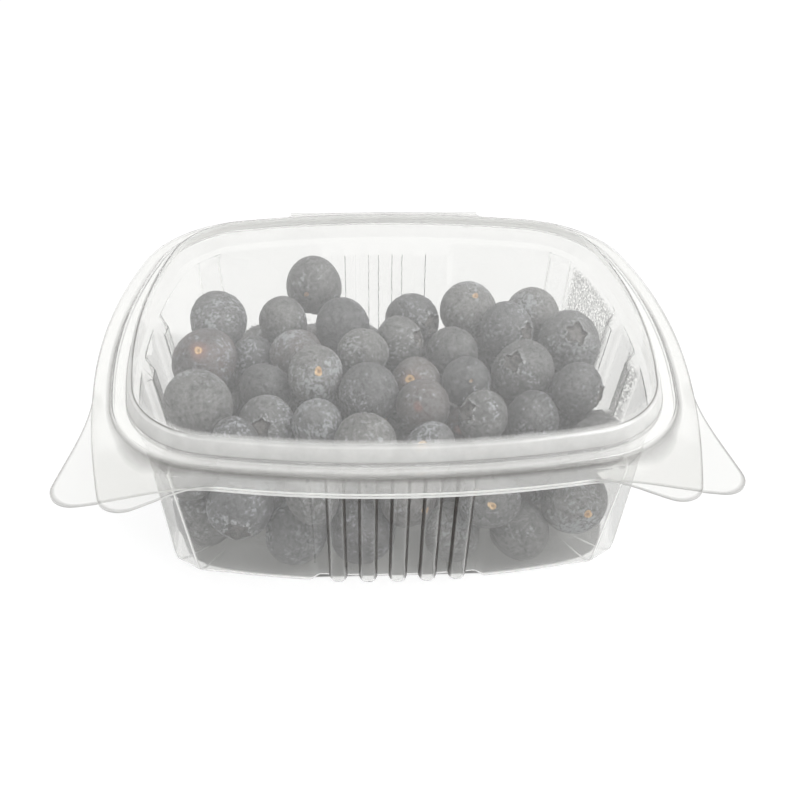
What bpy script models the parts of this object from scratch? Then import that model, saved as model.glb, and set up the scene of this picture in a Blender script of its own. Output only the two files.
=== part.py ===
"""Punnet of blueberries: a clear hinged deli tub, shut, with a loose heap of berries inside.

The tub is two thin thermoformed shells, a tray and a lid, joined along the back by a living hinge.
Both are drawn from one rim outline, four shallow arcs with rounded corners, pulled in by an offset.
Metres, +Z up. The origin is under the middle of the tub's box, on the surface that it stands on.
"""
import math

import bmesh
import bpy
import numpy as np
from mathutils import Matrix

MM = 0.001

# The rim outline, the outer edge of both flanges.
RIM_HALF_X = 68.3 * MM
RIM_HALF_Y = 59.5 * MM
FRONT_ARC = 222.0 * MM
SIDE_ARC = 155.0 * MM
CORNER_RADIUS = 30.0 * MM

# The shells.
SHEET = 0.5 * MM
PLY_GAP = 0.3 * MM
TRAY_DEPTH = 41.0 * MM

# The tray's section, as insets from the rim outline and drops below the rim.
TRAY_FLANGE = 4.0 * MM
BEAD_INSETS = (4.9 * MM, 6.9 * MM)
BEAD_HEIGHT = 0.9 * MM
RIM_WALL_INSET = 7.7 * MM
RIM_WALL_DROP = 3.4 * MM
WALL_TOP_INSET = 8.7 * MM
WALL_TOP_DROP = 4.5 * MM
WALL_DRAFT = 0.11
FLUTE_TOP_DROP = 9.0 * MM
FLUTE_FOOT_Z = 4.5 * MM
FOOT_BEND_Z = 1.2 * MM
FOOT_BEND_INSET = 0.6 * MM
STAND_INSETS = (2.6 * MM, 7.0 * MM)
BASE_RISE = 0.8 * MM
BASE_RISE_RUN = 1.2 * MM

# The lid's section, as insets from the rim outline and rises above its flange.
LID_FLANGE = 3.4 * MM
LEDGE_INSETS = (4.3 * MM, 7.9 * MM)
LEDGE_RISE = 0.95 * MM
PANEL_INSETS = (8.3 * MM, 8.8 * MM)
PANEL_RISE = 4.25 * MM
PANEL_EDGE = 0.4 * MM

# Flutes pressed into the tray's walls.
RECESS_DEPTH = 1.8 * MM
FRONT_RECESS_HALF = 20.2 * MM
FRONT_RIBS = 5
RIB_PITCH = 6.85 * MM
RIB_HALF = 1.9 * MM
RIB_HEIGHT = 1.5 * MM
SIDE_RECESS_HALF = 13.5 * MM
SIDE_PILLAR_HALF = 5.0 * MM
FLUTE_FLANK = 1.6 * MM
CORNER_FACETS = (35.0, 57.0)
FACET_EDGE_REACH = 1.1

# Ears to open the tub by: each front corner of a flange runs out to a rounded tip.
# An ear is where its straight flanks would meet, and how far each flank bows out.
TRAY_EAR = {"tip": (68.3 * MM, -61.5 * MM), "side_bow": -1.0 * MM, "front_bow": 0.0}
LID_EAR = {"tip": (56.3 * MM, -65.3 * MM), "side_bow": 0.8 * MM, "front_bow": -0.6 * MM}
EAR_RADIUS = 5.0 * MM
EAR_ROOT_X = 36.0 * MM
EAR_ROOT_Y = 25.0 * MM

# The hinge strip along the back.
HINGE_HALF = 27.5 * MM
HINGE_LEAF = 1.2 * MM
HINGE_CORNER = 0.9 * MM
HINGE_GAP = 0.3 * MM

# The heap: two layers that show through the walls, and a mounded top layer with one berry on it.
# The upper layers stop short of the back wall, where only the lowest layer is left.
HEAP_CLEARANCE = 0.5 * MM
BERRY_RADIUS = 7.2 * MM
BERRY_PITCH = 14.8 * MM
ROW_NESTING = 0.93
LAYER_HEIGHTS = (9.2 * MM, 20.4 * MM, 31.4 * MM)
LAYER_ROWS = (2, 1, 4)
BACK_SLOPE_Y = 30.0 * MM
CROWN = 1.6 * MM
UNEVENNESS = 0.9 * MM
SIZE_SPREAD = 0.05
HIGHEST_BERRY = (-20.0 * MM, 27.5 * MM, 36.8 * MM)
SKIN_VOXEL = 1.5 * MM
SKIN_KEEP = 0.052

RIM_Z = TRAY_DEPTH


def clear_scene():
    for item in list(bpy.data.objects):
        bpy.data.objects.remove(item, do_unlink=True)


def corner_arc():
    """Centre of the corner arc that touches both long arcs, and the two angles where it touches them."""
    front = np.array([0.0, RIM_HALF_Y - FRONT_ARC])
    side = np.array([RIM_HALF_X - SIDE_ARC, 0.0])
    reach_front = FRONT_ARC - CORNER_RADIUS
    reach_side = SIDE_ARC - CORNER_RADIUS
    between = side - front
    span = np.hypot(*between)
    along = (reach_front ** 2 - reach_side ** 2 + span ** 2) / (2 * span)
    across = math.sqrt(reach_front ** 2 - along ** 2)
    normal = np.array([-between[1], between[0]]) / span
    centre = front + between * along / span + normal * across
    if centre[0] < 0 or centre[1] < 0:
        centre = centre - 2 * normal * across
    front_angle = math.atan2(centre[1] - front[1], centre[0] - front[0])
    side_angle = math.atan2(centre[1] - side[1], centre[0] - side[0])
    return centre, side_angle, front_angle


CORNER_CENTRE, SIDE_ANGLE, FRONT_ANGLE = corner_arc()


def front_distance(x, inset):
    """Distance from the middle to the front or back wall at x."""
    return RIM_HALF_Y - FRONT_ARC + math.sqrt((FRONT_ARC - inset) ** 2 - x * x)


def side_distance(y, inset):
    """Distance from the middle to the left or right wall at y."""
    return RIM_HALF_X - SIDE_ARC + math.sqrt((SIDE_ARC - inset) ** 2 - y * y)


def corner_point(angle, inset, facet):
    """Point of the front right quarter's corner: a true arc, drawn out to flat facets as facet goes to 1."""
    edges = [SIDE_ANGLE, *(math.radians(edge) for edge in CORNER_FACETS), FRONT_ANGLE]
    reach = [1.0, FACET_EDGE_REACH, FACET_EDGE_REACH, 1.0]
    radius = CORNER_RADIUS - inset
    on_arc = np.array([math.cos(angle), math.sin(angle)])
    on_facet = on_arc
    for side in range(len(edges) - 1):
        low, high = edges[side], edges[side + 1]
        if low <= angle <= high:
            share = (angle - low) / (high - low)
            start = reach[side] * np.array([math.cos(low), math.sin(low)])
            end = reach[side + 1] * np.array([math.cos(high), math.sin(high)])
            on_facet = start * (1 - share) + end * share
            break
    return tuple(CORNER_CENTRE + radius * (on_arc * (1 - facet) + on_facet * facet))


def flank(distance):
    """0 outside a flute's edge, 1 past its sloping flank."""
    return min(max(distance / FLUTE_FLANK, 0.0), 1.0)


def front_flute(x, recess, rib):
    """How far the front or back wall is pressed in at x: a wide recess with round ribs standing in it."""
    depth = recess * RECESS_DEPTH * flank(FRONT_RECESS_HALF - abs(x))
    for index in range(FRONT_RIBS):
        middle = (index - (FRONT_RIBS - 1) / 2) * RIB_PITCH
        reach = abs(x - middle) / RIB_HALF
        if reach < 1:
            depth -= rib * RIB_HEIGHT * math.sqrt(1 - reach * reach)
    return depth


def side_flute(y):
    """How far a side wall is pressed in at y: a recess with one wide pillar left in its middle."""
    return RECESS_DEPTH * flank(SIDE_RECESS_HALF - abs(y)) * flank(abs(y) - SIDE_PILLAR_HALF)


def wall_stations(fluted):
    """The places round a quarter turn where the rings have a point: x on the front, y on a side, angles."""
    front = [HINGE_HALF, HINGE_HALF + HINGE_CORNER]
    side = []
    if fluted:
        front += [FRONT_RECESS_HALF - FLUTE_FLANK, FRONT_RECESS_HALF]
        for index in range(-(FRONT_RIBS // 2), FRONT_RIBS // 2 + 1):
            for reach in (-1.0, -0.7, 0.0, 0.7, 1.0):
                front.append(index * RIB_PITCH + reach * RIB_HALF)
        side += [SIDE_PILLAR_HALF, SIDE_PILLAR_HALF + FLUTE_FLANK]
        side += [SIDE_RECESS_HALF - FLUTE_FLANK, SIDE_RECESS_HALF]
    else:
        front += [HINGE_HALF / 3, HINGE_HALF * 2 / 3]
        side += [EAR_ROOT_Y / 3, EAR_ROOT_Y * 2 / 3]
    front = sorted({round(abs(x), 6) for x in front} | {0.0, EAR_ROOT_X})
    side = sorted({round(y, 6) for y in side} | {0.0, EAR_ROOT_Y})
    edges = [SIDE_ANGLE, *(math.radians(edge) for edge in CORNER_FACETS), FRONT_ANGLE]
    angles = [edges[0]]
    for low, high, parts in zip(edges, edges[1:], (3, 2, 3)):
        angles += [low + (high - low) * part / parts for part in range(1, parts + 1)]
    return front, side, angles


def bowed(start, end, bow, share):
    """Point at a share of the way along a flank that bows out to its left by bow at mid length."""
    along = end - start
    left = np.array([-along[1], along[0]]) / np.hypot(*along)
    return start + along * share + left * bow * 4 * share * (1 - share)


def rounded_ear(start, end, ear, count):
    """Points from start to end round an ear: a bowed flank, an arc at the tip, a bowed flank."""
    start, tip, end = (np.array(point) for point in (start, ear["tip"], end))
    leg_in = (start - tip) / np.hypot(*(start - tip))
    leg_out = (end - tip) / np.hypot(*(end - tip))
    half = math.acos(float(leg_in @ leg_out)) / 2
    bisector = (leg_in + leg_out) / np.hypot(*(leg_in + leg_out))
    centre = tip + bisector * EAR_RADIUS / math.sin(half)
    touch_in = tip + leg_in * EAR_RADIUS / math.tan(half)
    touch_out = tip + leg_out * EAR_RADIUS / math.tan(half)
    turn = math.pi - 2 * half
    on_arc = count - 4
    points = [bowed(start, touch_in, ear["side_bow"], share) for share in (0.35, 0.7)]
    spoke = touch_in - centre
    for step in range(on_arc):
        angle = -turn * step / (on_arc - 1)
        cos, sin = math.cos(angle), math.sin(angle)
        points.append(centre + np.array([spoke[0] * cos - spoke[1] * sin, spoke[0] * sin + spoke[1] * cos]))
    points += [bowed(touch_out, end, ear["front_bow"], share) for share in (0.3, 0.65)]
    return points


def ear_on_rim(stations, inset, ear):
    """The points of an ear on a rim ring's front right corner, as (x, distance to the front)."""
    front, side, angles = stations
    start = (side_distance(side[-1], inset), -side[-1])
    end = (front[-1], -front_distance(front[-1], inset))
    return [(float(x), -float(y)) for x, y in rounded_ear(start, end, ear, len(angles))]


EAR_REACH = max(y for x, y in ear_on_rim(wall_stations(fluted=False), 0.0, LID_EAR))
TUB_Y = (EAR_REACH - RIM_HALF_Y - HINGE_LEAF) / 2
HINGE_POINT = (0.0, TUB_Y + RIM_HALF_Y + HINGE_LEAF + HINGE_GAP, RIM_Z)


def ring(stations, z, inset, recess=0.0, rib=0.0, facet=0.0, ear=None, leaf=0.0):
    """One closed ring of points, anticlockwise from the middle of the right side.

    recess, rib and facet say how far the wall's flutes and the corner's facets are formed at this level.
    """
    front, side, angles = stations
    right_up = [(side_distance(y, inset + recess * side_flute(y)), y) for y in side]
    corner = [corner_point(angle, inset, facet) for angle in angles]
    top = [(x, front_distance(x, inset + front_flute(x, recess, rib))) for x in reversed(front)]
    quarter = right_up + corner + top
    back = right_up + corner + [(x, y + (leaf if x <= HINGE_HALF else 0.0)) for x, y in top]
    fore = list(quarter)
    if ear is not None:
        fore[len(side):len(side) + len(angles)] = ear_on_rim(stations, inset, ear)
    upper = back + [(-x, y) for x, y in reversed(back[:-1])]
    lower = fore[1:] + [(-x, y) for x, y in reversed(fore[1:-1])]
    points = upper + [(-x, -y) for x, y in lower]
    return np.array([(x, y + TUB_Y, z) for x, y in points])


def loft(name, rings, origin):
    """An open skin through the rings, closed by a flat cap on its last ring."""
    count = len(rings[0])
    verts = np.vstack(rings) - np.array(origin)
    faces = []
    for level in range(len(rings) - 1):
        low, high = level * count, (level + 1) * count
        for k in range(count):
            nxt = (k + 1) % count
            faces.append((low + k, low + nxt, high + nxt, high + k))
    last = (len(rings) - 1) * count
    faces.append(tuple(last + k for k in range(count)))
    mesh = bpy.data.meshes.new(name)
    mesh.from_pydata(verts.tolist(), [], faces)
    mesh.update()
    piece = bpy.data.objects.new(name, mesh)
    piece.location = origin
    return piece


def add_sheet(piece, side):
    """Gives an open skin the sheet's thickness: above the skin on side 1, below it on side -1."""
    solid = piece.modifiers.new("sheet", "SOLIDIFY")
    solid.thickness = SHEET
    solid.offset = side
    solid.use_even_offset = True


def plain_material(name, colour, roughness, transmission=0.0):
    material = bpy.data.materials.new(name)
    material.use_nodes = True
    shader = material.node_tree.nodes["Principled BSDF"]
    shader.inputs["Base Color"].default_value = (*colour, 1.0)
    shader.inputs["Roughness"].default_value = roughness
    shader.inputs["Metallic"].default_value = 0.0
    shader.inputs["Transmission Weight"].default_value = transmission
    return material


def finish(piece, collection, material):
    collection.objects.link(piece)
    piece.data.materials.append(material)
    piece.data.shade_smooth()
    piece.data.set_sharp_from_angle(angle=math.radians(35))


def wall_inset(drop):
    """Inset of the tray wall's outer face at a drop below the rim."""
    return WALL_TOP_INSET + WALL_DRAFT * (drop - WALL_TOP_DROP)


def build_tray():
    """Flange with ears, bead, rim wall, small shelf, fluted wall, and a base with a raised panel."""
    stations = wall_stations(fluted=True)
    under = RIM_Z - PLY_GAP / 2 - SHEET
    foot = wall_inset(TRAY_DEPTH)
    rings = [
        ring(stations, under, 0.0, ear=TRAY_EAR, leaf=HINGE_LEAF),
        ring(stations, under, TRAY_FLANGE),
        ring(stations, under + BEAD_HEIGHT, BEAD_INSETS[0]),
        ring(stations, under + BEAD_HEIGHT, BEAD_INSETS[1]),
        ring(stations, RIM_Z - RIM_WALL_DROP, RIM_WALL_INSET),
        ring(stations, RIM_Z - WALL_TOP_DROP, WALL_TOP_INSET),
        ring(stations, RIM_Z - FLUTE_TOP_DROP, wall_inset(FLUTE_TOP_DROP), recess=1.0, rib=1.0, facet=1.0),
        ring(stations, FLUTE_FOOT_Z, wall_inset(RIM_Z - FLUTE_FOOT_Z), recess=1.0, rib=1.0, facet=1.0),
        ring(stations, FOOT_BEND_Z, foot + FOOT_BEND_INSET, recess=0.9, rib=1.15, facet=1.0),
        ring(stations, 0.0, foot + STAND_INSETS[0], recess=0.5, rib=1.4, facet=1.0),
        ring(stations, 0.0, foot + STAND_INSETS[1], facet=0.6),
        ring(stations, BASE_RISE, foot + STAND_INSETS[1] + BASE_RISE_RUN, facet=0.6),
    ]
    tray = loft("tray", rings, (0.0, 0.0, 0.0))
    add_sheet(tray, side=1.0)
    return tray


def build_lid():
    """Flange with ears, a step up to the ledge, a riser, and the flat top panel."""
    stations = wall_stations(fluted=False)
    top = RIM_Z + PLY_GAP / 2 + SHEET
    ledge = top + LEDGE_RISE
    panel = top + PANEL_RISE
    rings = [
        ring(stations, top, 0.0, ear=LID_EAR, leaf=HINGE_LEAF),
        ring(stations, top, LID_FLANGE),
        ring(stations, ledge, LEDGE_INSETS[0]),
        ring(stations, ledge, LEDGE_INSETS[1]),
        ring(stations, panel - PANEL_EDGE, PANEL_INSETS[0]),
        ring(stations, panel, PANEL_INSETS[1]),
    ]
    lid = loft("lid", rings, HINGE_POINT)
    add_sheet(lid, side=-1.0)
    return lid


def inner_ring(z, inset):
    """The tray's plain inner outline at height z, clear of the flutes, drawn in by a further inset."""
    inside = wall_inset(TRAY_DEPTH - z) + RECESS_DEPTH + SHEET + HEAP_CLEARANCE
    return ring(wall_stations(fluted=False), z, inside + inset, facet=0.5)


def berries_round(z, inset, turn):
    """Centres of berries set side by side along an inner outline, turn of a berry ahead."""
    outline = inner_ring(z, inset)
    closed = np.vstack([outline, outline[:1]])
    run = np.concatenate([[0.0], np.cumsum(np.hypot(*np.diff(closed[:, :2], axis=0).T))])
    count = max(round(run[-1] / BERRY_PITCH), 1)
    wanted = (np.arange(count) + turn) * run[-1] / count % run[-1]
    return np.stack([np.interp(wanted, run, closed[:, axis]) for axis in range(3)], axis=1)


def heap_berries():
    """Every berry that shows on the heap, as (x, y, z, radius)."""
    berries = []
    for layer, z in enumerate(LAYER_HEIGHTS):
        top = layer == len(LAYER_HEIGHTS) - 1
        for row in range(LAYER_ROWS[layer]):
            inset = BERRY_RADIUS + row * BERRY_PITCH * ROW_NESTING
            for index, centre in enumerate(berries_round(z, inset, 0.5 * (layer % 2) + 0.37 * row)):
                if layer > 0 and centre[1] > TUB_Y + BACK_SLOPE_Y:
                    continue
                wave = math.sin(2.3 * index + 1.7 * row + layer)
                lift = (CROWN * row / (LAYER_ROWS[layer] - 1) + UNEVENNESS * wave) if top else 0.0
                radius = BERRY_RADIUS * (1 - SIZE_SPREAD * (1 + wave))
                berries.append((centre[0], centre[1], centre[2] + lift, radius))
    berries.append((*HIGHEST_BERRY, BERRY_RADIUS))
    return berries


def build_heap():
    """The berries as one solid: round berries over a plain core, drawn together into one skin."""
    core = bmesh.new()
    levels = [inner_ring(z, BERRY_RADIUS) for z in (LAYER_HEIGHTS[0], LAYER_HEIGHTS[-1])]
    levels[1][:, 1] = np.minimum(levels[1][:, 1], TUB_Y + BACK_SLOPE_Y)
    rows = [[core.verts.new(point) for point in level] for level in levels]
    for low, nxt, high_nxt, high in zip(rows[0], rows[0][1:] + rows[0][:1], rows[1][1:] + rows[1][:1], rows[1]):
        core.faces.new((low, nxt, high_nxt, high))
    core.faces.new(reversed(rows[0]))
    core.faces.new(rows[1])
    for x, y, z, radius in heap_berries():
        place = Matrix.Translation((x, y, z))
        bmesh.ops.create_icosphere(core, subdivisions=3, radius=radius, matrix=place)
    mesh = bpy.data.meshes.new("blueberries")
    core.to_mesh(mesh)
    core.free()
    heap = bpy.data.objects.new("blueberries", mesh)
    skin = heap.modifiers.new("one_skin", "REMESH")
    skin.mode = "VOXEL"
    skin.voxel_size = SKIN_VOXEL
    thin = heap.modifiers.new("fewer_faces", "DECIMATE")
    thin.ratio = SKIN_KEEP
    return heap


def main():
    clear_scene()
    tub = bpy.data.collections.new("punnet_of_blueberries")
    bpy.context.scene.collection.children.link(tub)
    clear_plastic = plain_material("clear_plastic", (0.93, 0.94, 0.93), 0.08, transmission=0.9)
    berry_skin = plain_material("berry_skin", (0.09, 0.10, 0.14), 0.55)
    finish(build_tray(), tub, clear_plastic)
    finish(build_lid(), tub, clear_plastic)
    finish(build_heap(), tub, berry_skin)


main()
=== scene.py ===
import math

import bpy
import numpy as np
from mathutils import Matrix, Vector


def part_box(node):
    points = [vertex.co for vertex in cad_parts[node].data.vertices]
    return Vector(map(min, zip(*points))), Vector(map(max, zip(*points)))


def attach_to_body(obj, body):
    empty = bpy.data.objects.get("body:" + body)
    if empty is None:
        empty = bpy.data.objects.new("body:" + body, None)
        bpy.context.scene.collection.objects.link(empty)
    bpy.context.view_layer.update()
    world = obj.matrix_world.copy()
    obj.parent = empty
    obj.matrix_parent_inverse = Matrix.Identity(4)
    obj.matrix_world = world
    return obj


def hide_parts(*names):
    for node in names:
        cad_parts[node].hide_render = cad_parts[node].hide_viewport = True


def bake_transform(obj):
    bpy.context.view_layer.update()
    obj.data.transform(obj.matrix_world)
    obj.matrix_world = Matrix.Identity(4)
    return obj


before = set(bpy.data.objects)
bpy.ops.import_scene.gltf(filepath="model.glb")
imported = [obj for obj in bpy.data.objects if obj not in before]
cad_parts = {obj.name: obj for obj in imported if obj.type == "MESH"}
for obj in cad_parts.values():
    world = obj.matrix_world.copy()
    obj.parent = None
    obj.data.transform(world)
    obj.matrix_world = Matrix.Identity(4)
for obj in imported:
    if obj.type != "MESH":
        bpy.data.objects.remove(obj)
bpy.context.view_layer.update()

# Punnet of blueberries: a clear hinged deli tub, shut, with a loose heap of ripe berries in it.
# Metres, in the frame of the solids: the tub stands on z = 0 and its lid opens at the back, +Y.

MM = 0.001

# ---------------------------------------------------------------------------------------------
# The tray: one thin sheet of clear plastic drawn down over a mould. Its rim is a flat flange with
# a raised bead and two ears to pull it open by; flutes and round ribs are pressed into its walls,
# its corners run down in flat facets, and the panel of its base is raised off the table.
# ---------------------------------------------------------------------------------------------
RIM_HALF_X = 68.3 * MM
RIM_HALF_Y = 59.5 * MM
FRONT_ARC = 222.0 * MM
SIDE_ARC = 155.0 * MM
CORNER_RADIUS = 30.0 * MM
RIM_Z = 41.0 * MM
PLY_GAP = 0.3 * MM
SHEET = 0.4 * MM
EAR_ROOT_X = 36.0 * MM
EAR_ROOT_Y = 25.0 * MM
HINGE_HALF = 27.5 * MM
HINGE_LEAF = 1.2 * MM
LEAF_CORNER = 0.9 * MM
FRONT_LIP = 0.7 * MM
TUB_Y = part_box("tray")[1].y - RIM_HALF_Y - HINGE_LEAF


def corner_arc():
    """Centre of the arc that touches both long arcs of the rim, and the angles where it does."""
    front = np.array([0.0, RIM_HALF_Y - FRONT_ARC])
    side = np.array([RIM_HALF_X - SIDE_ARC, 0.0])
    reach_front = FRONT_ARC - CORNER_RADIUS
    between = side - front
    span = np.hypot(*between)
    along = (reach_front ** 2 - (SIDE_ARC - CORNER_RADIUS) ** 2 + span ** 2) / (2 * span)
    across = math.sqrt(reach_front ** 2 - along ** 2)
    centre = front + (between * along + np.array([between[1], -between[0]]) * across) / span
    return centre, math.atan2(*(centre - side)[::-1]), math.atan2(*(centre - front)[::-1])


CORNER_CENTRE, SIDE_ANGLE, FRONT_ANGLE = corner_arc()


def front_distance(x, inset):
    """Distance from the middle to the front or back wall at x: a shallow arc, less the inset."""
    return RIM_HALF_Y - FRONT_ARC + np.sqrt((FRONT_ARC - inset) ** 2 - x ** 2)


def side_distance(y, inset):
    """Distance from the middle to a side wall at y: a shallow arc, less the inset."""
    return RIM_HALF_X - SIDE_ARC + np.sqrt((SIDE_ARC - inset) ** 2 - y ** 2)


def eased(share):
    """Share from 0 to 1 with level ends: 3s^2 - 2s^3."""
    share = np.clip(share, 0.0, 1.0)
    return share * share * (3 - 2 * share)


RECESS_DEPTH = 1.8 * MM
FRONT_RECESS = 20.2 * MM
RIB_PITCH = 6.85 * MM
RIBBED_HALF = 2.5 * RIB_PITCH
RIB_HALF = 1.95 * MM
RIB_HEIGHT = 1.6 * MM
BACK_RIB = 0.42
SIDE_RECESS = (5.0 * MM, 13.5 * MM)
FLANK = 2.4 * MM


def off_rib(x):
    """Distance from x to the middle line of the nearest front rib, in half widths of a rib."""
    return np.abs((x + RIB_PITCH / 2) % RIB_PITCH - RIB_PITCH / 2) / RIB_HALF


def front_flute(x, recess, rib):
    """How far the front wall is pressed in: a wide recess, less five blunt ribs standing in it."""
    sunk = recess * RECESS_DEPTH * eased((FRONT_RECESS - x) / FLANK)
    return sunk - rib * RIB_HEIGHT * (1 - np.clip(off_rib(x), 0.0, 1.0) ** 4) * (x < RIBBED_HALF)


def side_flute(y):
    """How far a side wall is pressed in: a recess on each side of one wide pillar."""
    return RECESS_DEPTH * eased((SIDE_RECESS[1] - y) / FLANK) * eased((y - SIDE_RECESS[0]) / FLANK)


def heading(angles):
    """Unit vectors at angles from the x axis."""
    return np.stack([np.cos(angles), np.sin(angles)], axis=-1)


def along_path(places, marks, points):
    """Points at some places along a path whose own points lie at its marks, in straight lines."""
    return np.stack([np.interp(places, marks, points[:, k]) for k in (0, 1)], axis=-1)


FACET_EDGES = np.array([SIDE_ANGLE, math.radians(38.0), math.radians(57.0), FRONT_ANGLE])
FACET_REACH = np.array([1.0, 1.05, 1.1, 1.0])
FACET_BULGE = 0.107
BULGE_TOP = 33.6 * MM
BULGE_FALL = 12.0 * MM


def corner_run(angles, inset, facet, height):
    """Corner points by angle: radius times the arc's direction, drawn out to three flat facets.

    Lower down the first edge between them stands out further, so the corner falls more steeply.
    """
    spokes = heading(FACET_EDGES)
    on_facet = along_path(angles, FACET_EDGES, FACET_REACH[:, None] * spokes)
    swell = np.interp(angles, FACET_EDGES, [0.0, 1.0, 0.0, 0.0])[..., None] * spokes[1]
    on_facet = on_facet + swell * FACET_BULGE * eased((BULGE_TOP - height) / BULGE_FALL)[..., None]
    shape = heading(angles) * (1 - facet[..., None]) + on_facet * facet[..., None]
    return CORNER_CENTRE + (CORNER_RADIUS - inset)[..., None] * shape


EAR_PULL = 0.38
FROM_SIDE = np.array([-0.16, -0.99])
FROM_FRONT = np.array([0.99, 0.16])
TIP_CROWDING = 1.5


def ear_run(start, end, ear, count):
    """An ear's edge: a smooth curve from the rim to the tip, the tip's arc, and a curve back.

    Each curve is the cubic that leaves the rim along the rim and meets the tip along its own leg.
    The points crowd together round the tip.
    """
    legs = heading(np.radians(ear["legs"]))
    half = math.acos(float(legs[0] @ legs[1])) / 2
    bisector = legs.sum(axis=0) / np.hypot(*legs.sum(axis=0))
    middle = ear["tip"] + bisector * ear["radius"] / math.sin(half)
    touch = ear["tip"] + legs * ear["radius"] / math.tan(half)
    share = np.linspace(0, 1, 60)[:, None]

    def curve(root, leaving, foot, leg):
        pull = np.hypot(*(foot - root)) * EAR_PULL
        rest = 1 - share
        weights = [rest ** 3, 3 * share * rest ** 2, 3 * share ** 2 * rest, share ** 3]
        points = [root, root + leaving * pull, foot + leg * pull, foot]
        return sum(weight * point for weight, point in zip(weights, points))

    into = curve(start, FROM_SIDE, touch[0], legs[0])
    out_of = curve(end, FROM_FRONT, touch[1], legs[1])[::-1]
    turn = math.pi - 2 * half
    spoke = touch[0] - middle
    swing = -turn * share
    arc = middle + np.concatenate([
        spoke[0] * np.cos(swing) - spoke[1] * np.sin(swing),
        spoke[0] * np.sin(swing) + spoke[1] * np.cos(swing),
    ], axis=1)
    edge = np.concatenate([into, arc[1:-1], out_of])
    step = np.hypot(*np.diff(edge, axis=0).T)
    step[len(into):len(into) + len(arc) - 2] += turn * ear["radius"] * TIP_CROWDING / len(arc)
    run = np.concatenate([[0.0], np.cumsum(step)])
    return along_path(np.linspace(0, run[-1], count + 2)[1:-1], run, edge)


def stations(fluted):
    """Where a quarter of a ring has points: y up a side, angles round a corner, x along the front.

    On a fluted wall they stand close together on the flanks of its ribs and recesses.
    """
    if fluted:
        reach = np.array([0.0, 0.4, 0.7, 0.78, 0.86, 0.93, 1.0, 1.1])
        reach = np.unique(np.append(-reach, reach))
        ribs = np.concatenate([k * RIB_PITCH + RIB_HALF * reach for k in range(3)])
        gaps = [(k + 0.5) * RIB_PITCH + np.array([-0.6, 0.6]) * MM for k in range(2)]
        edge = FRONT_RECESS - FLANK * np.linspace(1, 0, 5)
        past = [16.6 * MM, 17.6 * MM]
        x = np.concatenate([ribs[ribs >= -1e-9], *gaps, past, edge, [21.5 * MM]])
        flank = FLANK * np.linspace(0, 1, 5)
        near = [SIDE_RECESS[0] + flank, SIDE_RECESS[1] - flank, np.linspace(7.5, 11.0, 4) * MM]
        beyond = np.linspace(15.0 * MM, EAR_ROOT_Y, 8)
        y = np.concatenate([np.linspace(0, 4.2, 4) * MM, *near, beyond])
    else:
        x = np.linspace(0, 21.5 * MM, 9)
        y = np.linspace(0, EAR_ROOT_Y, 12)
    x = np.unique(np.round(np.concatenate([x, np.linspace(22.5 * MM, EAR_ROOT_X, 8)]), 7))
    leaf_edge = np.array([HINGE_HALF - 0.01 * MM, HINGE_HALF + 0.5 * MM, HINGE_HALF + LEAF_CORNER])
    x = np.sort(np.concatenate([x, leaf_edge]))
    parts = [np.linspace(low, high, 11) for low, high in zip(FACET_EDGES, FACET_EDGES[1:])]
    beside = [FACET_EDGES[1:3] + math.radians(by) for by in (-1.2, -0.6, 0.6, 1.2)]
    angles = np.unique(np.round(np.concatenate(parts + beside), 9))
    return np.unique(np.round(y, 7)), angles, x[::-1]


def rib_flank(x):
    """How near x is to the steep flank of a front rib: a narrow hump at each edge of a rib."""
    return eased((off_rib(x) - 0.70) / 0.18) * eased((1.1 - off_rib(x)) / 0.12) * (x < RIBBED_HALF)


def side_flank(y):
    """How near y is to the steep flank at either end of a side recess."""
    middles = (SIDE_RECESS[0] + FLANK / 2, SIDE_RECESS[1] - FLANK / 2)
    return sum(eased(1 - np.abs(y - middle) / (0.45 * FLANK)) for middle in middles)


LIP_SHARE = 0.98
CUT_EDGE_HAZE = 0.8
FACET_HAZE = 0.9
FACET_EDGE_WIDTH = math.radians(0.7)
# Painted shade: how dark the lines along the cut edge, the side recesses and the rib flanks are.
CUT_EDGE_SHADE = 0.22
RECESS_FLANK_SHADE = 0.12
RIB_FLANK_SHADE = 0.60
BACK_SHARE = 0.35
CORNER_BLEND = math.radians(30.0)


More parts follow.
